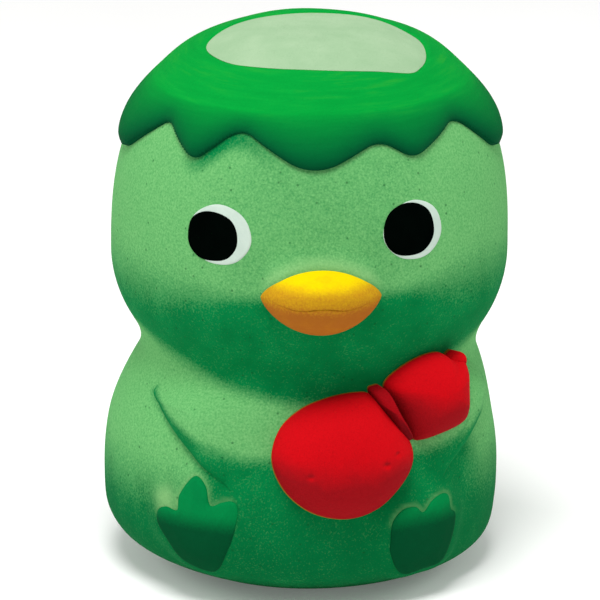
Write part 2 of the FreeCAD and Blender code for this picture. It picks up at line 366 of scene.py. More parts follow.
def lean(points):
    """Points of the plain form, shifted with the belly."""
    z = points[..., 2]
    shift = LEAN * smoothstep(*LEAN_FROM, z) * (1.0 - smoothstep(*LEAN_TO, z))
    moved = points.copy()
    moved[..., 0] += shift
    return moved


def on_skin(angle, along, h):
    """Points h above the skin at an angle (radians) and a length up the skin."""
    angle, along, h = np.broadcast_arrays(angle, along, h)
    h = h + skin_lift(angle, along)
    r = np.interp(along, SKIN_S, SKIN_R) + h * np.interp(along, SKIN_S, SKIN_OUT)
    z = np.interp(along, SKIN_S, SKIN_Z) + h * np.interp(along, SKIN_S, SKIN_UP)
    return lean(np.stack([r * np.sin(angle), -r * np.cos(angle), z], -1))


def place(azimuth, z, u, v, h):
    """Points h above the skin, at chart coordinates (u, v) about a place."""
    angle = math.radians(azimuth) + u / float(np.interp(z, SKIN_Z, SKIN_R))
    return on_skin(angle, length_at(z) + v, h)


# ---- meshes

def rounded(distance, width):
    """A quarter-round edge: 0 at the edge, 1 from that width inwards."""
    t = np.clip(distance / width, 0, 1)
    return np.sqrt(np.maximum(1.0 - (1.0 - t) ** 2, 0.0))


def from_centre(rings):
    """Shares of the way from a centre to an outline, closer together towards the outline."""
    return np.sin(np.linspace(0, math.pi / 2, rings))[:, None]


def turns_of(count):
    """Angles evenly round a full turn."""
    return np.linspace(0, 2 * math.pi, count, endpoint=False)


def spin(section, angle):
    """Loops of points from (radius, height) pairs turned about the axis."""
    r, z = np.array(section).T[:, :, None]
    return np.stack([r * np.sin(angle), -r * np.cos(angle), z + 0 * angle], -1)


def surface(name, rows, ring=False):
    """A closed mesh from rows of points, each a loop. The end rows are single points unless it's a ring."""
    m, n = rows.shape[:2]
    index = np.arange(m * n).reshape(m, n)
    pairs = list(zip(range(m - 1), range(1, m)))
    if ring:
        pairs.append((m - 1, 0))
    faces = []
    for i, j in pairs:
        here, there = index[i], index[j]
        faces.append(np.stack([here, np.roll(here, -1), np.roll(there, -1), there], -1))
    mesh = bpy.data.meshes.new(name)
    mesh.from_pydata((rows.reshape(-1, 3) * MM).tolist(), [], np.concatenate(faces).tolist())
    tidy = bmesh.new()
    tidy.from_mesh(mesh)
    bmesh.ops.remove_doubles(tidy, verts=tidy.verts, dist=WELD)
    bmesh.ops.recalc_face_normals(tidy, faces=tidy.faces)
    tidy.to_mesh(mesh)
    tidy.free()
    obj = bpy.data.objects.new(name, mesh)
    bpy.context.scene.collection.objects.link(obj)
    return obj


def fan(outline, rings, centre=(0.0, 0.0)):
    """Chart coordinates from a centre out to an outline around it, and the share of the way there."""
    t = from_centre(rings)
    u = centre[0] + t * (outline[:, 0] - centre[0])
    v = centre[1] + t * (outline[:, 1] - centre[1])
    return u, v, t


def boolean(obj, tool, operation):
    """Apply a Boolean and remove the tool."""
    step = obj.modifiers.new("cut", "BOOLEAN")
    step.operation = operation
    step.solver = "EXACT"
    step.object = tool
    bpy.context.view_layer.update()
    result = bpy.data.meshes.new_from_object(obj.evaluated_get(bpy.context.evaluated_depsgraph_get()))
    obj.modifiers.clear()
    obj.data = result
    bpy.data.objects.remove(tool)


def smooth(obj, sharp_angle):
    obj.data.shade_smooth()
    obj.data.set_sharp_from_angle(angle=math.radians(sharp_angle))
    return obj


def slab(name, top, under, sharp_angle, ring=False):
    """A closed piece between the rows of its top and of its underside."""
    return smooth(surface(name, np.concatenate([top, under[::-1]]), ring), sharp_angle)


def per_vertex(obj, kind):
    """Positions ("co", in metres) or normals of a mesh's vertices."""
    values = np.empty(3 * len(obj.data.vertices))
    obj.data.vertices.foreach_get(kind, values)
    return values.reshape(-1, 3)


def store(obj, name, values):
    attribute = obj.data.attributes.new(name, "FLOAT", "POINT")
    attribute.data.foreach_set("value", np.ascontiguousarray(values, dtype=np.float32))


# ---- the pieces

def slot_cutter(end_points=25):
    """The coin slot's outline, carried from inside the head to well behind it."""
    rim = []
    for side in (-1, 1):
        end = side * (SLOT_LENGTH - SLOT_HEIGHT) / 2
        for turn in np.linspace(-math.pi / 2, math.pi / 2, end_points):
            x = end + side * SLOT_HEIGHT / 2 * math.cos(turn)
            rim.append((x, SLOT_Z + side * SLOT_HEIGHT / 2 * math.sin(turn)))
    rim = np.array(rim)
    loops = [np.stack([rim[:, 0], np.full(len(rim), y), rim[:, 1]], -1) for y in (HEAD_R / 3, 2 * HEAD_R)]
    caps = [np.repeat(loop.mean(0)[None], len(rim), 0) for loop in loops]
    return surface("slot_cutter", np.stack([caps[0], loops[0], loops[1], caps[1]]))


def body_piece(columns=380, outer_rows=190, inner_rows=46):
    """The hollow casting, with its coin slot and the stepped hole in its floor."""
    angle = turns_of(columns)
    along = np.linspace(SKIN_END, 0, outer_rows)
    outer = on_skin(angle[None, :], along[:, None], 0.0)

    inner_r = SKIN_R - WALL * SKIN_OUT
    inner_z = SKIN_Z - WALL * SKIN_UP
    above = inner_z > FLOOR
    inner_r = np.maximum(inner_r[above], 0.0)
    inner_z = inner_z[above]
    picks = np.linspace(0, len(inner_r) - 1, inner_rows).astype(int)

    # From the base up through the stopper's seat and the hole, then out over the floor to the inner wall
    edge = 0.4
    fillet = 2.0
    section = [
        (SEAT_R + 2 * edge, 0), (SEAT_R + edge / 4, edge / 4), (SEAT_R, edge),
        (SEAT_R, SEAT_DEPTH - edge / 2), (SEAT_R - edge / 2, SEAT_DEPTH),
        (HOLE_R + edge, SEAT_DEPTH), (HOLE_R, SEAT_DEPTH + edge), (HOLE_R, FLOOR - edge),
        (HOLE_R + edge, FLOOR), (inner_r[0] - fillet, FLOOR),
        (inner_r[0] - fillet / 4, FLOOR + 0.15 * fillet),
    ]
    section += list(zip(inner_r[picks][1:], inner_z[picks][1:]))
    section[-1] = (0.0, section[-1][1])
    inner = lean(spin(section, angle))
    body = surface("casting", np.concatenate([outer, inner]))
    boolean(body, slot_cutter(), "DIFFERENCE")
    return smooth(body, sharp_angle=42)


def cap_edge(angle, corner_steps=13):
    """Height of the cap's edge at angles (radians), its notches and points rounded off."""
    edge = np.array(CAP_EDGE, float)
    corners = edge[:, :2]
    t = np.linspace(0, 1, corner_steps)[:, None]
    bends = []
    for i, corner in enumerate(corners):
        ends = []
        for other in (corners[i - 1], corners[(i + 1) % len(corners)]):
            way = other - corner
            way[0] = (way[0] + 180) % 360 - 180
            ends.append(corner + way * edge[i, 2] / abs(way[0]))
        bends.append((1 - t) ** 2 * ends[0] + 2 * t * (1 - t) * corner + t ** 2 * ends[1])
    x, z = np.concatenate(bends).T
    return np.interp(np.degrees(angle), x, z, period=360)


def dish_edge(angle):
    """Length up the skin of the dish's edge at angles (radians)."""
    x, y = DISH_OUTLINE.T
    turn = np.arctan2(x, -y)
    order = np.argsort(turn)
    return crown_length(np.interp(angle, turn[order], np.hypot(x, y)[order], period=2 * math.pi))


def cap_piece(columns=720, rows=64, crowding=1.5):
    """The cap: a thick coat with a fat, rounded, jagged lip, open at the dish. Its rows crowd at the lip."""
    angle = np.linspace(-math.pi, math.pi, columns, endpoint=False)
    low = length_at(cap_edge(angle))
    high = dish_edge(angle)
    t = (np.linspace(0, 1, rows) ** crowding)[:, None]
    along = low + t * (high - low)
    edge = on_skin(angle, low, 0.0)
    flat = on_skin(angle, along, 0.0)
    gap = np.full(along.shape, FAR)
    for point in edge[::2]:
        gap = np.minimum(gap, np.linalg.norm(flat - point, axis=-1))
    gap = np.where(t == 0, 0.0, gap)
    thickness = ramp(np.interp(along, SKIN_S, SKIN_Z), *CAP_LIP_FROM, CAP_THICKNESS, CAP_LIP_THICKNESS)
    thin = 1 - CAP_RIM_THIN + CAP_RIM_THIN * rounded(high - along, CAP_RIM)
    top = on_skin(angle, along, thickness * rounded(gap, CAP_LIP) * thin)
    under = on_skin(angle, along, -COAT_SINK)
    return slab("cap_paint", top, under, sharp_angle=60, ring=True)


def dish_piece(rings=40):
    """The water dish: a shallow, faintly hollowed pool of pale glaze."""
    centre = DISH_OUTLINE.mean(0)
    t = from_centre(rings)
    plan = centre + t[..., None] * (DISH_OUTLINE - centre)
    angle = np.arctan2(plan[..., 0], -plan[..., 1])
    along = crown_length(np.hypot(plan[..., 0], plan[..., 1]))
    top = on_skin(angle, along, DISH_THICKNESS - DISH_HOLLOW * smoothstep(1.0, 0.0, t))
    under = on_skin(angle, along, -COAT_SINK)
    return slab("water_dish", top, under, sharp_angle=60)


def oval(half_width, half_height, square, points=120):
    """An oval, whose corners fill out as square rises above 2."""
    a = turns_of(points)
    power = 2.0 / square
    sides = []
    for half, part in ((half_width, np.cos(a)), (half_height, np.sin(a))):
        sides.append(half * np.sign(part) * np.abs(part) ** power)
    return np.stack(sides, -1)


def eye_piece(name):
    """A painted oval with a soft, slightly uneven edge."""
    (azimuth, z, half_width, half_height), rise, square = EYES[name]
    outline = oval(half_width, half_height, square)
    a = turns_of(len(outline))
    shake = 1.0
    for (waves, size), phase in zip(EYE_WAVES, (azimuth, z)):
        shake = shake + size * np.cos(waves * a + phase)
    u, v, t = fan(outline * shake[:, None], rings=24)
    top = place(azimuth, z, u, v, rise * rounded((1 - t) * half_height, EYE_EDGE))
    return slab(name, top, place(azimuth, z, u, v, -EYE_SINK), sharp_angle=70)


def bill_piece(name, upper, columns=90, rows=40):
    """One half of the bill. The mouth runs a little below the ridge, and the lips barely roll into it."""
    across = np.sin(np.linspace(-math.pi / 2, math.pi / 2, columns))
    u = BILL_HALF_WIDTH * across
    full = (1.0 - across ** 2) ** BILL_TAPER
    ridge = RIDGE_Z - BILL_DROOP * (1 - full)
    top = ridge + (BILL_TOP_Z - RIDGE_Z) * full
    bottom = ridge - (RIDGE_Z - BILL_BOTTOM_Z) * full
    mouth = ridge - (RIDGE_Z - MOUTH_Z - MOUTH_WAVE * np.cos(across * MOUTH_WAVES)) * full
    k = np.linspace(0, 1, rows)[:, None]
    z = mouth + ((top if upper else bottom) - mouth) * np.sin(k * math.pi / 2)
    span = np.where(z > ridge, top - ridge, ridge - bottom)
    level = np.clip((z - ridge) / np.maximum(span, TINY), -1.0, 1.0)
    swell = np.sqrt(1.0 - level ** 2)
    crease = (1.0 - rounded(np.abs(z - mouth), LIP_ROLL_WIDTH)) * LIP_ROLL_DEPTH
    set_back = crease + (0.0 if upper else LOWER_SET_BACK)
    reach = (BILL_REACH + BILL_SINK) * full ** REACH_TAPER * swell - set_back * full
    base_y = -np.sqrt(HEAD_R ** 2 - u ** 2) + BILL_SINK * full ** 0.5

    sheets = []
    for y in (base_y - np.maximum(reach, LEAST_REACH * full), base_y + BILL_BACK * full):
        sheets.append(np.stack([np.broadcast_to(u, z.shape), np.broadcast_to(y, z.shape), z], -1))
    front, back = sheets
    loop = np.concatenate([front, back[::-1]], 0).transpose(1, 0, 2)
    a = math.radians(BILL_AZIMUTH)
    x = loop[..., 0] * math.cos(a) - loop[..., 1] * math.sin(a)
    y = loop[..., 0] * math.sin(a) + loop[..., 1] * math.cos(a)
    return smooth(surface(name, np.stack([x, y, loop[..., 2]], -1)), sharp_angle=60)


# Parts of the gourd: place, the direction it faces (azimuth, elevation), how far its rim and its dome stand
# out, and its outline in the plane across that direction
GOURD = {
    "gourd_belly": ((9.5, 29.8), (12.0, 8.0), -2.5, 10.5, [
        (-12.3, -0.2), (-10.7, 5.0), (-6.7, 8.5), (-1.9, 10.3), (3.0, 11.0), (6.4, 10.4), (9.2, 7.2),
        (12.0, 3.6), (13.6, 0.0), (13.2, -3.4), (10.7, -7.0), (6.9, -10.3), (2.4, -11.9), (-2.5, -11.6),
        (-7.1, -9.5), (-10.7, -5.5),
    ]),
    "gourd_head": ((40.0, 39.0), (28.0, 8.0), 1.0, 7.5, [
        (-9.3, 1.7), (-6.2, 4.9), (-2.0, 6.6), (2.0, 6.5), (4.4, 4.9), (6.4, 4.8), (7.0, 3.4), (6.9, 0.4),
        (6.5, -4.8), (5.3, -7.0), (0.8, -8.3), (-3.5, -8.9), (-5.3, -7.8), (-7.2, -3.6),
    ]),
    "gourd_stalk": ((40.0, 39.0), (28.0, 8.0), 1.6, 2.6, [
        (4.1, 4.6), (5.5, 5.8), (6.5, 5.9), (7.1, 5.3), (7.1, 3.9), (6.3, 2.8), (4.8, 3.2),
    ]),
    "gourd_waist": ((24.0, 35.0), (20.0, 8.0), 1.4, 3.6, [
        (-3.2, 5.8), (-2.3, 6.2), (-1.0, 6.2), (-0.1, 4.8), (1.9, 0.6), (4.0, -3.1), (3.6, -3.9),
        (2.5, -3.8), (0.7, -1.9), (-1.8, 2.2), (-2.9, 4.0),
    ]),
}

# The domes' fullness, how far a thin outline may swell towards a round ring, the pits in the belly (place
# and radius) and their depth, and how far the walls run into the skin
DOME_FULLNESS = 2.2
RING_LIMIT = 1.1
GOURD_PITS = [(6.6, -1.2, 0.5), (9.0, 0.4, 0.45), (-7.0, -2.6, 0.4)]
PIT_DEPTH = 0.3
TUCK = 1.2


def gourd_piece(name, rings=56, wall_rows=9):
    """A dome over an outline, whose walls run straight back into the skin."""
    at, facing, rim, rise, outline = GOURD[name]
    normal = direction(*facing)
    a = math.radians(facing[0])
    side = np.array([math.cos(a), math.sin(a), 0.0])
    up = np.cross(normal, side)
    edge = curve(outline)
    centre = edge.mean(0)
    t = from_centre(rings)
    spoke = edge - centre
    reach = np.hypot(spoke[:, 0], spoke[:, 1])[:, None]
    ring = spoke * np.minimum(reach.mean() / reach, RING_LIMIT)
    flat = centre + t[..., None] * (ring + t[..., None] ** 2 * (spoke - ring))
    h = rim + rise * np.sqrt(np.maximum(1 - t ** DOME_FULLNESS, 0.0))
    if name == "gourd_belly":
        for x, y, size in GOURD_PITS:
            h = h - PIT_DEPTH * np.exp(-((flat[..., 0] - x) ** 2 + (flat[..., 1] - y) ** 2) / size ** 2)
    dome = place(*at, 0.0, 0.0, 0.0) + flat[..., :1] * side + flat[..., 1:] * up + h[..., None] * normal

    # Where the same directions from the axis meet the casting, a little below its skin
    shift = lean(dome) - dome
    upright = dome - shift
    level = np.hypot(upright[..., 0], upright[..., 1])
    sunk = (skin_radius(dome[..., 2]) - TUCK) / level
    under = upright * np.stack([sunk, sunk, np.ones(sunk.shape)], -1) + shift
    wall = dome[-1] + np.linspace(0, 1, wall_rows)[1:-1, None, None] * (under[-1] - dome[-1])
    return smooth(surface(name, np.concatenate([dome, wall, under[::-1]])), sharp_angle=75)


# Outline of the right wing, with 0 where its edge is a crease and 1 where it grows out of the shoulder
WING_OUTLINE = [
    (-13.2, 3.2, 0.7), (-9.6, 0.9, 0.4), (-6.2, -1.1, 0.15), (-3.0, -3.1, 0), (0.2, -5.2, 0),
    (3.2, -7.1, 0), (6.8, -9.4, 0.3), (10.4, -11.9, 0.8), (14.4, -11.9, 1), (17.4, -7.4, 1),
    (17.0, 0.5, 1), (12.6, 6.0, 1), (5.0, 9.0, 1), (-3.0, 9.8, 1), (-9.6, 8.2, 1),
]

# The roll's centre, its height, how full it is at the crease and how much it thins towards the shoulder, and
# how far its edge and its underside lie in the skin
WING_CENTRE = (2.5, 1.0)
WING_RISE = 4.0
CREASE_FULLNESS = 0.75
SHOULDER_THIN = 0.3
WING_EDGE_SINK = 0.12
WING_SINK = 0.9


def wing_outline(size, mirror):
    outline = curve(WING_OUTLINE)
    if mirror < 0:
        outline = outline[::-1] * np.array([-1.0, 1.0, 1.0])
    outline[:, :2] *= size
    return outline


def wing_piece(name, at, size, mirror):
    """A wing folded forwards: a roll that grows out of the shoulder, with a crease below and behind it."""
    outline = wing_outline(size, mirror)
    soft = np.clip(outline[:, 2], 0.0, 1.0)
    centre = (WING_CENTRE[0] * mirror * size, WING_CENTRE[1] * size)
    u, v, t = fan(outline, rings=60, centre=centre)
    crisp = np.maximum(1 - t ** 2, 0) ** CREASE_FULLNESS
    fade = (1 - smoothstep(0, 1.0, t)) * (1 - SHOULDER_THIN * t)
    h = WING_RISE * (crisp * (1 - soft) + fade * soft) - WING_EDGE_SINK * t ** 4
    return slab(name, place(*at, u, v, h), place(*at, u, v, -WING_SINK), sharp_angle=75)


# A foot's rounded edge (height and width), the swell of its middle (height and where it rises), and how far
# its underside lies in the skin
FOOT_EDGE = (0.55, 1.3)
FOOT_SWELL = 0.25
FOOT_SWELL_SPAN = (1.0, 3.5)
FOOT_SINK = 0.6


def foot_piece(name):
    at, outline = FEET[name]
    u, v, _ = fan(outline, rings=36)
    inside = -distance_to(u, v, outline)
    h = FOOT_EDGE[0] * rounded(inside, FOOT_EDGE[1]) + FOOT_SWELL * smoothstep(*FOOT_SWELL_SPAN, inside)
    return slab(name + "_pad", place(*at, u, v, h), place(*at, u, v, -FOOT_SINK), sharp_angle=75)


def stopper_piece(columns=160):
    """The soft stopper: a rounded flange, a bead that grips the hole and a finger bar across the foot."""
    low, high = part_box("base_stopper")
    foot, top, flange = low.z / MM, high.z / MM, high.x / MM
    hollow = 10.6
    neck = 12.5
    bead = 12.9
    web = 1.8
    slack = 0.02

    # Its section, in (radius, height) pairs
    finger_recess = [
        (0, SEAT_DEPTH), (hollow - 0.6, SEAT_DEPTH), (hollow - 0.1, SEAT_DEPTH - 0.3),
        (hollow, SEAT_DEPTH - 0.8), (hollow + 0.1, foot + 0.5), (hollow + 0.5, foot + 0.1),
    ]
    rounded_flange = [
        (hollow + 1.0, foot), (flange - 0.7, foot), (flange - 0.2, foot + 0.2), (flange, foot + 0.7),
        (flange, SEAT_DEPTH - 0.3), (flange - 0.3, SEAT_DEPTH - slack), (neck + 0.2, SEAT_DEPTH - slack),
    ]
    neck_with_bead = [
        (neck + 0.2, 2.8), (bead, 3.0), (bead, 4.0), (bead - 0.2, 4.8), (neck, 6.0),
        (neck - 0.6, top - 0.6), (neck - 1.0, top),
    ]
    cup_inside = [
        (hollow + 0.3, top), (hollow, top - 0.3), (hollow, SEAT_DEPTH + web), (0, SEAT_DEPTH + web),
    ]
    angle = turns_of(columns)
    cup = surface("stopper", spin(finger_recess + rounded_flange + neck_with_bead + cup_inside, angle))

    bar_length, bar_width = 17.0, 3.0
    bar_top = SEAT_DEPTH + 0.5
    loop = oval(bar_length / 2, bar_width / 2, square=5.0, points=80)
    levels = [(0, foot), (0.9, foot), (0.97, foot + 0.15), (1, foot + 0.45), (1, bar_top), (0, bar_top)]
    rows = [np.concatenate([loop * s, np.full((len(loop), 1), z)], 1) for s, z in levels]
    boolean(cup, surface("stopper_bar", np.stack(rows)), "UNION")
    return smooth(cup, sharp_angle=40)


# ---- materials

def rgb(red, green, blue):
    """Linear colour from an 8-bit sRGB one."""
    values = np.array([red, green, blue]) / 255.0
    linear = np.where(values <= 0.04045, values / 12.92, ((values + 0.055) / 1.055) ** 2.4)
    return (*linear.tolist(), 1.0)


# Colours, in pairs where one clouds into the other
# Painted shade: the skin's shaded green
SHADE_GREEN = (rgb(1, 111, 56), rgb(3, 124, 64))
# Painted shade: the darkest green, towards the base
BASE_SHADE_GREEN = rgb(0, 92, 48)
DEEP_FLECK = rgb(28, 128, 70)
# Painted light: the skin's lit green
LIT_GREEN = (rgb(84, 158, 90), rgb(113, 180, 110))
# Painted highlight on the skin
HIGHLIGHT_GREEN = rgb(150, 196, 128)
SPECK_GREEN = rgb(10, 84, 40)
CLAY = (rgb(206, 196, 178), rgb(228, 222, 208))
CAP_GREEN = (rgb(0, 140, 50), rgb(2, 150, 54))
# Painted shade on the cap's lip
CAP_SHADE_GREEN = rgb(0, 72, 43)
CAP_YELLOW = rgb(56, 152, 40)
DISH_GREEN = (rgb(144, 176, 138), rgb(158, 186, 150))
DISH_FLECK = rgb(134, 166, 128)
DISH_SPECK = rgb(116, 150, 108)
EYE_WHITE = (rgb(182, 200, 188), rgb(194, 210, 198))
PUPIL_BLACK = (rgb(1, 3, 2), rgb(2, 6, 4))
BILL_YELLOW = rgb(232, 200, 1)
# Partly the bill's own orange, partly painted shade under its ridge
BILL_ORANGE_AND_SHADE = rgb(164, 96, 30)
BILL_OCHRE = rgb(190, 124, 20)
# Painted light and shade: the gourd's red, lit and shaded
GOURD_RED = (rgb(192, 8, 18), rgb(150, 14, 22))
# Painted shade: the waist band's red, darker for its recess, lit and shaded
BAND_SHADED_RED = (rgb(150, 8, 18), rgb(112, 8, 16))
RED_FLECK = rgb(130, 14, 20)
OLIVE = rgb(150, 110, 30)
FOOT_GREEN = (rgb(1, 70, 38), rgb(1, 122, 62))
FOOT_CLOUD = rgb(1, 84, 46)
RUBBER = (rgb(214, 208, 194), rgb(232, 228, 216))
FLOOR_WHITE = (rgb(243, 243, 241), rgb(249, 249, 248))


class Paint:
    """A material under construction, with short ways to add nodes."""

    def __init__(self, name):
        self.material = bpy.data.materials.new(name)
        self.material.use_nodes = True
        self.tree = self.material.node_tree
        self.shader = self.tree.nodes["Principled BSDF"]
        self.place = self.add("ShaderNodeTexCoord").outputs["Object"]

    def feed(self, socket, value):
        """Link a socket to another, or set its value."""
        if isinstance(value, bpy.types.NodeSocket):
            self.tree.links.new(value, socket)
        else:
            socket.default_value = value

    def add(self, kind, inputs=None, **settings):
        node = self.tree.nodes.new(kind)
        for key, value in settings.items():
            setattr(node, key, value)
        for key, value in (inputs or {}).items():
            self.feed(node.inputs[key], value)
        return node

    def attribute(self, name):
        return self.add("ShaderNodeAttribute", attribute_name=name).outputs["Fac"]

    def noise(self, scale, detail=3.0, stretch=None, rough=0.6):
        """Noise of so many features per metre."""
        where = self.place
        if stretch:
            where = self.add("ShaderNodeMapping", {"Vector": where, "Scale": stretch}).outputs["Vector"]
        inputs = {"Vector": where, "Scale": scale, "Detail": detail, "Roughness": rough}
        return self.add("ShaderNodeTexNoise", inputs).outputs["Fac"]

    def math(self, operation, a, b):
        return self.add("ShaderNodeMath", {0: a, 1: b}, operation=operation).outputs[0]

    def shaken(self, value, noise, amount):
        """A value pushed up and down by noise."""
        push = self.math("MULTIPLY", self.math("SUBTRACT", noise, 0.5), amount)
        return self.math("ADD", value, push)

    def span(self, value, low, high, out_low=0.0, out_high=1.0):
        inputs = {"Value": value, "From Min": low, "From Max": high, "To Min": out_low, "To Max": out_high}
        return self.add("ShaderNodeMapRange", inputs, clamp=True).outputs["Result"]

    def mix(self, share, a, b):
        """Blend two colours. A Mix node keeps its factor and its colours in sockets 0, 6 and 7."""
        node = self.add("ShaderNodeMix", {0: share, 6: a, 7: b}, data_type="RGBA")
        return node.outputs[2]

    def specks(self, per_metre, size, share, soft_edge=(0.6, 1.2)):
        """Sparse round specks: 1 inside a speck. Size is its radius in metres."""
        inputs = {"Vector": self.place, "Scale": per_metre, "Randomness": 1.0}
        cells = self.add("ShaderNodeTexVoronoi", inputs).outputs
        inner, outer = (size * per_metre * part for part in soft_edge)
        near = self.span(cells["Distance"], inner, outer, 1.0, 0.0)
        lot = self.add("ShaderNodeSeparateColor", {"Color": cells["Color"]}).outputs[0]
        return self.math("MULTIPLY", near, self.math("GREATER_THAN", lot, 1 - share))

    def bump(self, parts):
        """Bump from (height socket, depth in metres) pairs."""
        normal = None
        for height, depth in parts:
            inputs = {"Height": height, "Distance": depth, "Strength": 1.0}
            if normal is not None:
                inputs["Normal"] = normal
            normal = self.add("ShaderNodeBump", inputs).outputs["Normal"]
        self.feed(self.shader.inputs["Normal"], normal)

    def finish(self, colour, specular=0.03):
        self.feed(self.shader.inputs["Base Color"], colour)
        self.shader.inputs["Specular IOR Level"].default_value = specular
        return self.material


def sandy(paint, roughness=0.85, spread=0.08):
    """The matt, sandy surface that every painted part shares. Gives its grain."""
    grain = paint.noise(2600, detail=4)
    lumps = paint.noise(420)
    paint.bump([(lumps, 0.00010), (grain, 0.00007)])
    rough = paint.span(grain, 0.3, 0.7, roughness - spread, roughness + spread)
    paint.feed(paint.shader.inputs["Roughness"], rough)
    return grain


def skin_material():
    """Painted light and shade: a lit green over a shaded green, fading in fine speckle, with kiln specks."""
    paint = Paint("skin_green")
    grain = sandy(paint)
    speckle = paint.noise(2700, detail=2)
    cloud = paint.noise(130)
    # Share of painted light against painted shade, dithered with speckle
    dithered = paint.shaken(paint.attribute("painted_light"), speckle, 0.95)
    share = paint.span(paint.shaken(dithered, cloud, 0.3), 0.06, 0.94)
    deep = paint.mix(paint.span(cloud, 0.35, 0.7), *SHADE_GREEN)
    # Painted shade: darker green towards the base
    deep = paint.mix(paint.math("MULTIPLY", paint.attribute("low"), 0.7), deep, BASE_SHADE_GREEN)
    deep = paint.mix(paint.span(grain, 0.55, 0.75, 0.0, 0.18), deep, DEEP_FLECK)
    pale = paint.mix(paint.span(grain, 0.35, 0.65), *LIT_GREEN)
    colour = paint.mix(share, deep, pale)
    # Painted highlights on the skin, over the toes and above the bill
    colour = paint.mix(paint.math("MULTIPLY", paint.attribute("painted_highlight"), 0.5), colour, HIGHLIGHT_GREEN)
    specks = paint.specks(600, 0.00025, share=0.35)
    colour = paint.mix(paint.math("MULTIPLY", specks, 0.6), colour, SPECK_GREEN)
    return paint.finish(paint.mix(paint.attribute("bare"), colour, paint.mix(grain, *CLAY)))


def cap_material():
    """Brushed green: level strokes with a little yellow left in them, and painted shade towards the lip."""
    paint = Paint("cap_green")
    sandy(paint, 0.8)
    strokes = paint.noise(1.0, detail=5, stretch=(90, 90, 1300), rough=0.65)
    patches = paint.noise(70, detail=2)
    yellow = paint.math("MULTIPLY", paint.span(strokes, 0.50, 0.68), paint.span(patches, 0.42, 0.62))
    yellow = paint.math("MULTIPLY", yellow, paint.attribute("brushed"))
    colour = paint.mix(paint.span(strokes, 0.3, 0.7), *CAP_GREEN)
    # Painted shade that deepens towards the cap's lip
    colour = paint.mix(paint.attribute("lip"), colour, CAP_SHADE_GREEN)
    return paint.finish(paint.mix(paint.math("MULTIPLY", yellow, 0.35), colour, CAP_YELLOW))


def dish_material():
    """Pale green, clouded and lightly specked."""
    paint = Paint("dish_pale")
    grain = sandy(paint, 0.8)
    colour = paint.mix(paint.span(paint.noise(110), 0.3, 0.7), *DISH_GREEN)
    colour = paint.mix(paint.span(grain, 0.55, 0.75, 0.0, 0.5), colour, DISH_FLECK)
    specks = paint.specks(260, 0.0002, share=0.3)
    return paint.finish(paint.mix(paint.math("MULTIPLY", specks, 0.4), colour, DISH_SPECK))


def plain_paint(name, dark, light, roughness, specular=0.03):
    """Brushed-on colour that clouds between two shades."""
    paint = Paint(name)
    grain = sandy(paint, roughness)
    colour = paint.mix(paint.span(paint.noise(160, detail=4), 0.3, 0.7), dark, light)
    colour = paint.mix(paint.span(grain, 0.5, 0.8, 0.0, 0.25), colour, dark)
    return paint.finish(colour, specular)


def bill_material(name):
    """Yellow above, with a burnt orange from below that is partly the bill's own orange and partly painted
    shade.
    """
    paint = Paint(name)
    shade = paint.shaken(paint.attribute("orange_and_shade"), sandy(paint, 0.8), 0.5)
    colour = paint.mix(paint.span(shade, 0.1, 0.9), BILL_YELLOW, BILL_ORANGE_AND_SHADE)
    return paint.finish(paint.mix(paint.span(paint.noise(260), 0.5, 0.75, 0.0, 0.25), colour, BILL_OCHRE))


def gourd_material(name, lit, shaded):
    """Red, with painted shade underneath, and an olive line where it meets the green."""
    paint = Paint(name)
    grain = sandy(paint, 0.8)
    shade = paint.shaken(paint.attribute("under"), paint.noise(180), 0.6)
    colour = paint.mix(paint.span(shade, 0.2, 0.8), lit, shaded)
    colour = paint.mix(paint.span(grain, 0.55, 0.8, 0.0, 0.3), colour, RED_FLECK)
    return paint.finish(paint.mix(paint.attribute("rim"), colour, OLIVE))


def foot_material():
    """Deep green, darker on the sole than on the toes."""
    paint = Paint("foot_green")
    toes = paint.shaken(paint.attribute("toes"), sandy(paint), 0.4)
    colour = paint.mix(paint.span(toes, 0.1, 0.9), *FOOT_GREEN)
    return paint.finish(paint.mix(paint.span(paint.noise(200), 0.5, 0.8, 0.0, 0.3), colour, FOOT_CLOUD))


# ---- where the paints, the painted light and the painted shade lie

# Painted light and shade on the skin: the painted light ends below the cheeks, where painted shade on the
# head's underside begins, a little lower to one side. The half width of its fade and its strength on the
# face change with the azimuth: from, to, and the two values
CHEEK_Z = 59.6
CHEEK_TILT = 1.0
CHEEK_TILT_TO = 50
CHEEK_SOFT = (20, 55, 1.8, 8.8)
FACE_PAINTED_LIGHT = (15, 45, 0.8, 1.0)

# The painted light starts again on the chest, below the head's painted shadow, higher towards the sides
NECK_Z = 48.5
CHEST_Z = 38.3
CHEST_CLIMB = 9.5
CHEST_CLIMB_TO = 78
CHEST_CURVE = 1.5
CHEST_SOFT = (30, 60, 1.8, 3.5)

# Painted shadow: the painted light is missing from the lap below the wings and gourd (azimuths and heights),
# fades into painted shade towards the base, and is thin below one notch of the cap, a painted shadow
# (azimuths, distance below the edge). The deep green darkens towards the base, also painted shade.
LAP_RIGHT = (-36, -24)
LAP_LEFT = (68, 50)
LAP_Z = (31, 26)
BASE_FADE = (12, 31)
NOTCH_SHADE = (-50, -33, -6)
NOTCH_SHADE_DROP = (4.0, 0.8)
BASE_SHADE = (32, 6)

# Painted shade: the painted light is missing in the wings' creases. How much of the outline is crease, the
# dark band's width along it, how far a wall must face down to be painted shaded, and the painted shade on
# the casting beside it
CREASE_BELOW = 3.0
CREASE_WITHIN = 15.0
CREASE_BAND = (4.0, -7.0, 2.6, 10.6)
CREASE_WALL = (-0.6, 0.1)
CREASE_SHADE = (0.2, 1.2, 0.6, 1.0)

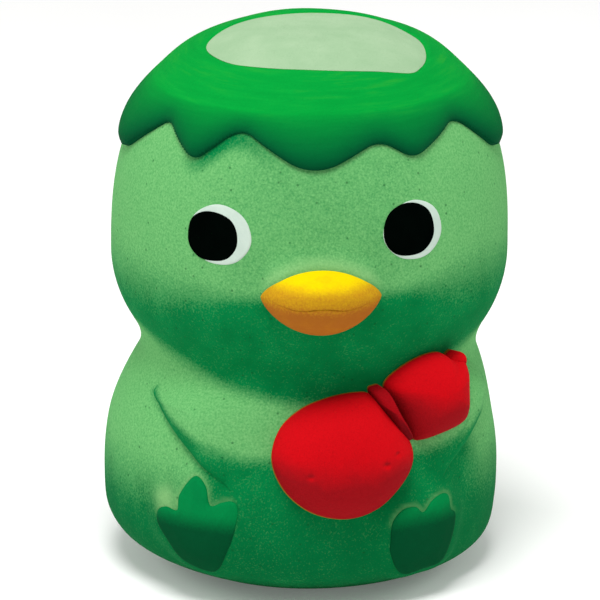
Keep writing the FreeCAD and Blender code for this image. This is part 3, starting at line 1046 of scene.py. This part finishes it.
# Bare clay lies this far under the skin between these heights. Below them it is what lies within the base
# ring's radius or faces the axis, and above them what faces down
BARE_DEPTH = 2.6
BARE_FROM = 8.0
BARE_TO = HEIGHT - 4.0
BASE_R = 20.4
FACES_IN = -0.1

# Painted highlights: a thin pale line over the toes (strength, distance, height and side), a pale patch
# beside the right foot's outer toe (place and size), and a pale glow above the bill (strength, distance
# from, distance to and side)
TOE_LINE = 0.4
TOE_LINE_AWAY = (0.1, 1.1)
TOE_LINE_UP = (2.0, 5.0)
TOE_LINE_SIDE = (8.5, 6.5)
TOE_PATCH = (-6.6, 6.8)
TOE_PATCH_SIZE = (2.8, 2.0)
BROW_GLOW = 0.8
BROW_GLOW_FROM = (-1.0, 0.5)
BROW_GLOW_AWAY = (0.5, 3.0)
BROW_GLOW_SIDE = (12, 8)


def spots(obj):
    """A mesh's vertices by angle, radius, height and length up the skin, the belly's lean taken out."""
    co = per_vertex(obj, "co") / MM
    x = 2 * co[:, 0] - lean(co)[:, 0]
    y, z = co[:, 1], co[:, 2]
    along = length_at(z)
    return SimpleNamespace(co=co, angle=np.arctan2(x, -y), radius=np.hypot(x, y), z=z, along=along)


def crease_distance(u, v, size, mirror):
    """Distance to the lower part of a wing's outline, at chart coordinates about the wing's place."""
    outline = wing_outline(size, mirror)
    lower = (outline[:, 1] < CREASE_BELOW * size) & (outline[:, 0] * mirror < CREASE_WITHIN * size)
    gap = np.full(np.shape(u), FAR)
    for x, y in outline[lower, :2]:
        gap = np.minimum(gap, np.hypot(u - x, v - y))
    return gap


def painted_light_on_form(at):
    """Painted light on the plain form: above the cheeks and on the shoulders, not on chin or lap, which are
    painted shade.
    """
    degrees = np.degrees(at.angle)
    turn = np.abs(degrees)
    cheek = CHEEK_Z + CHEEK_TILT * np.clip(degrees / CHEEK_TILT_TO, -1, 1)
    soft = ramp(turn, *CHEEK_SOFT)
    face = smoothstep(cheek - soft, cheek + soft, at.z) * ramp(turn, *FACE_PAINTED_LIGHT)
    chest = CHEST_Z + CHEST_CLIMB * np.clip(turn / CHEST_CLIMB_TO, 0, 1) ** CHEST_CURVE
    soft = ramp(turn, *CHEST_SOFT)
    shoulders = 1 - smoothstep(chest - soft, chest + soft, at.z)
    painted_light = np.where(at.z > NECK_Z, face, shoulders)
    lap = np.where(degrees < 0, smoothstep(*LAP_RIGHT, degrees), smoothstep(*LAP_LEFT, degrees))
    painted_light = painted_light * (1 - lap * smoothstep(*LAP_Z, at.z)) * smoothstep(*BASE_FADE, at.z)
    below_cap = smoothstep(*NOTCH_SHADE_DROP, cap_edge(at.angle) - at.z)
    return painted_light * (1 - bump(degrees, *NOTCH_SHADE) * below_cap)


def bare_clay(at, normal):
    """The vertices inside the casting or on its base ring."""
    outward = (normal[:, 0] * at.co[:, 0] + normal[:, 1] * at.co[:, 1]) / np.maximum(at.radius, 1.0)
    skin = skin_radius(np.clip(at.z, 1.0, HEIGHT - 2))
    inside = (at.z > BARE_FROM) & (at.z < BARE_TO) & (at.radius < skin - BARE_DEPTH)
    base = (at.z <= BARE_FROM) & ((outward < FACES_IN) | (at.radius < BASE_R))
    ceiling = (at.z >= BARE_TO) & (normal[:, 2] < 0)
    return inside | base | ceiling


def painted_highlights(at, outside):
    """Painted highlights: a thin pale line over the toes, a pale patch by the right foot's outer toe, one
    above the bill.
    """
    painted_highlight = np.zeros(len(at.z))
    for foot, outline in FEET.values():
        u, v = chart(*foot, at.angle, at.along)
        near = near_foot(u, v) & outside
        away = distance_to(u[near], v[near], outline)
        line = (1 - smoothstep(*TOE_LINE_AWAY, away)) * smoothstep(*TOE_LINE_UP, v[near])
        painted_highlight[near] += TOE_LINE * line * smoothstep(*TOE_LINE_SIDE, u[near])
    u, v = chart(*FEET["right_foot"][0], at.angle, at.along)
    across = (u - TOE_PATCH[0]) / TOE_PATCH_SIZE[0]
    upward = (v - TOE_PATCH[1]) / TOE_PATCH_SIZE[1]
    painted_highlight += np.exp(-across ** 2 - upward ** 2) * outside
    u, v = chart(BILL_AZIMUTH, RIDGE_Z, at.angle, at.along)
    gap = v - bill_top_edge(u)
    glow = (1 - smoothstep(*BROW_GLOW_AWAY, gap)) * smoothstep(*BROW_GLOW_FROM, gap)
    painted_highlight += BROW_GLOW * glow * smoothstep(*BROW_GLOW_SIDE, np.abs(u)) * outside
    return np.clip(painted_highlight, 0, 1)


def skin_attributes(obj, is_wing):
    at = spots(obj)
    normal = per_vertex(obj, "normal")
    # Painted light and shade: 1 where the skin is painted lit, 0 where it is painted shaded
    painted_light = painted_light_on_form(at)
    for wing, size, mirror in WINGS.values():
        u, v = chart(*wing, at.angle, at.along)
        gap = crease_distance(u, v, size, mirror)
        # Painted shade in a wing's crease and on its downward-facing wall, and on the casting beside the
        # crease
        if is_wing:
            band = ramp(v, *CREASE_BAND)
            painted_light = painted_light * smoothstep(0, 1.0, gap / band) * smoothstep(*CREASE_WALL, normal[:, 2])
        else:
            painted_light = painted_light * ramp(gap, *CREASE_SHADE)
    bare = bare_clay(at, normal)
    store(obj, "painted_light", painted_light)
    # Painted shade towards the base
    store(obj, "low", smoothstep(*BASE_SHADE, at.z))
    store(obj, "bare", bare)
    # Painted highlights
    store(obj, "painted_highlight", painted_highlights(at, ~bare))


def gourd_attributes(obj, turned_down=(0.5, -0.5), near_skin=(0.3, 0.7)):
    at = spots(obj)
    # Painted shade where the gourd faces down
    store(obj, "under", smoothstep(*turned_down, per_vertex(obj, "normal")[:, 2]))
    store(obj, "rim", 1 - smoothstep(*near_skin, at.radius - skin_radius(at.z)))


def foot_attributes(obj, foot, toes_from=(1.0, 7.0)):
    at = spots(obj)
    _, v = chart(*foot, at.angle, at.along)
    store(obj, "toes", smoothstep(*toes_from, v))


# The bill's burnt orange, partly its own colour and partly painted shade, in two steps down from its ridge:
# strength, and where each starts and is full
ORANGE_AND_SHADE_STEPS = [(0.65, 3.0, 0.2), (0.35, 0.0, -4.5)]


def bill_attributes(obj):
    z = spots(obj).z - RIDGE_Z
    store(obj, "orange_and_shade", sum(share * smoothstep(start, full, z) for share, start, full in ORANGE_AND_SHADE_STEPS))


# The cap's painted shade: where it starts, how quickly it deepens to the edge, and where the brushing shows
CAP_SHADE_Z = 91.5
CAP_SHADE_POWER = 0.55
BRUSHED_Z = (93.0, 96.5)
BRUSHED_BELOW = 0.3
BRUSHED_SHADE = (0.3, 0.0)


def cap_attributes(obj):
    """The cap is painted with shade from one level down to its edge, and is streaky with yellow at its top.
    """
    at = spots(obj)
    shade = np.clip((CAP_SHADE_Z - at.z) / (CAP_SHADE_Z - cap_edge(at.angle)), 0, 1)
    brushed = smoothstep(*BRUSHED_Z, at.z) + BRUSHED_BELOW * smoothstep(*BRUSHED_SHADE, shade)
    store(obj, "lip", shade ** CAP_SHADE_POWER)
    store(obj, "brushed", np.clip(brushed, 0, 1))


# ---- assembly

def dress(obj, material, node, body="bank"):
    obj.data.materials.clear()
    obj.data.materials.append(material)
    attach(obj, body)
    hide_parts(node)


def build():
    skin = skin_material()
    body = body_piece()
    skin_attributes(body, is_wing=False)
    dress(body, skin, "body_shell")
    for node, where in WINGS.items():
        wing = wing_piece(node + "_form", *where)
        skin_attributes(wing, is_wing=True)
        dress(wing, skin, node)

    cap = cap_piece()
    cap_attributes(cap)
    dress(cap, cap_material(), "cap")
    dress(dish_piece(), dish_material(), "dish")

    white = plain_paint("eye_white", *EYE_WHITE, 0.8)
    black = plain_paint("pupil_black", *PUPIL_BLACK, 0.85, specular=0.0)
    for side in ("left", "right"):
        dress(eye_piece(side + "_white"), white, side + "_eye_white")
    for side in ("left", "right"):
        dress(eye_piece(side + "_black"), black, side + "_pupil")

    for name, upper, node, slot in (
        ("bill_top", True, "upper_bill", "bill_yellow"),
        ("bill_bottom", False, "lower_bill", "bill_ochre"),
    ):
        half = bill_piece(name, upper)
        bill_attributes(half)
        dress(half, bill_material(slot), node)

    red = gourd_material("gourd_red", *GOURD_RED)
    # The waist band's darker red is painted shade for its recess
    shaded_band_red = gourd_material("band_red", *BAND_SHADED_RED)
    for name, paint, node, slot in (
        ("gourd_belly", red, "gourd_lower_bulb", "gourd_red"),
        ("gourd_head", red, "gourd_upper_bulb", "gourd_red"),
        ("gourd_stalk", red, "gourd_stem", "gourd_red"),
        ("gourd_waist", shaded_band_red, "gourd_waist_band", "band_red"),
    ):
        piece = gourd_piece(name)
        gourd_attributes(piece)
        dress(piece, paint, node)

    green = foot_material()
    for node, (foot, _) in FEET.items():
        pad = foot_piece(node)
        foot_attributes(pad, foot)
        dress(pad, green, node)

    rubber = plain_paint("stopper_rubber", *RUBBER, 0.6, specular=0.4)
    dress(stopper_piece(), rubber, "base_stopper", "stopper")


def floor(radius=3000.0, thickness=20.0, rings=12, columns=64):
    """A wide, pale floor."""
    steps = np.linspace(0, 1, rings)
    angle = turns_of(columns)
    top = spin(np.stack([steps * radius, 0 * steps], -1), angle)
    under = top - np.array([0, 0, thickness])
    obj = surface("floor", np.concatenate([top, under[::-1]]))
    paint = Paint("floor_pale")
    paint.shader.inputs["Roughness"].default_value = 0.8
    paint.shader.inputs["Emission Color"].default_value = (1.0, 1.0, 1.0, 1.0)
    paint.shader.inputs["Emission Strength"].default_value = 0.12
    colour = paint.mix(paint.noise(14, detail=2), *FLOOR_WHITE)
    obj.data.materials.append(paint.finish(colour, specular=0.1))


def area_light(name, azimuth, elevation, distance, size, power):
    """A round soft box that looks at the middle of the object."""
    light = bpy.data.lights.new(name, "AREA")
    light.shape = "DISK"
    light.size = size * MM
    light.energy = power
    obj = bpy.data.objects.new(name, light)
    bpy.context.scene.collection.objects.link(obj)
    away = Vector(direction(azimuth, elevation))
    target = Vector((0, 0, HEIGHT / 2))
    obj.location = (target + away * distance) * MM
    obj.rotation_euler = away.to_track_quat("Z", "Y").to_euler()


def studio():
    world = bpy.data.worlds.new("studio")
    bpy.context.scene.world = world
    world.use_nodes = True
    background = world.node_tree.nodes["Background"]
    background.inputs["Color"].default_value = (1.0, 1.0, 1.0, 1.0)
    background.inputs["Strength"].default_value = 0.40
    for name, azimuth, elevation, size, power in (
        ("key", -12, 66, 420, 7.0), ("left_box", -98, 28, 500, 2.4), ("right_box", 98, 28, 500, 2.0),
    ):
        area_light(name, azimuth, elevation, 900, size, power)
    bpy.context.scene.view_settings.view_transform = "Standard"


def camera(azimuth=-2.5, elevation=17.0, distance=1000.0, view_width=110.3, aside=1.84, below=1.49):
    """It looks down a little and sees the object slightly from its right."""
    back = Vector(direction(azimuth, elevation))
    a = math.radians(azimuth)
    right = Vector((math.cos(a), math.sin(a), 0.0))
    up = back.cross(right)
    data = bpy.data.cameras.new("camera")
    data.sensor_width = 36.0
    data.lens = data.sensor_width * distance / view_width
    data.clip_start = 0.01
    obj = bpy.data.objects.new("camera", data)
    bpy.context.scene.collection.objects.link(obj)
    target = Vector((0, 0, HEIGHT / 2)) - right * aside - up * below
    turn = Matrix((right, up, back)).transposed().to_4x4()
    obj.matrix_world = Matrix.Translation((target + back * distance) * MM) @ turn
    bpy.context.scene.camera = obj


build()
floor()
studio()
camera()
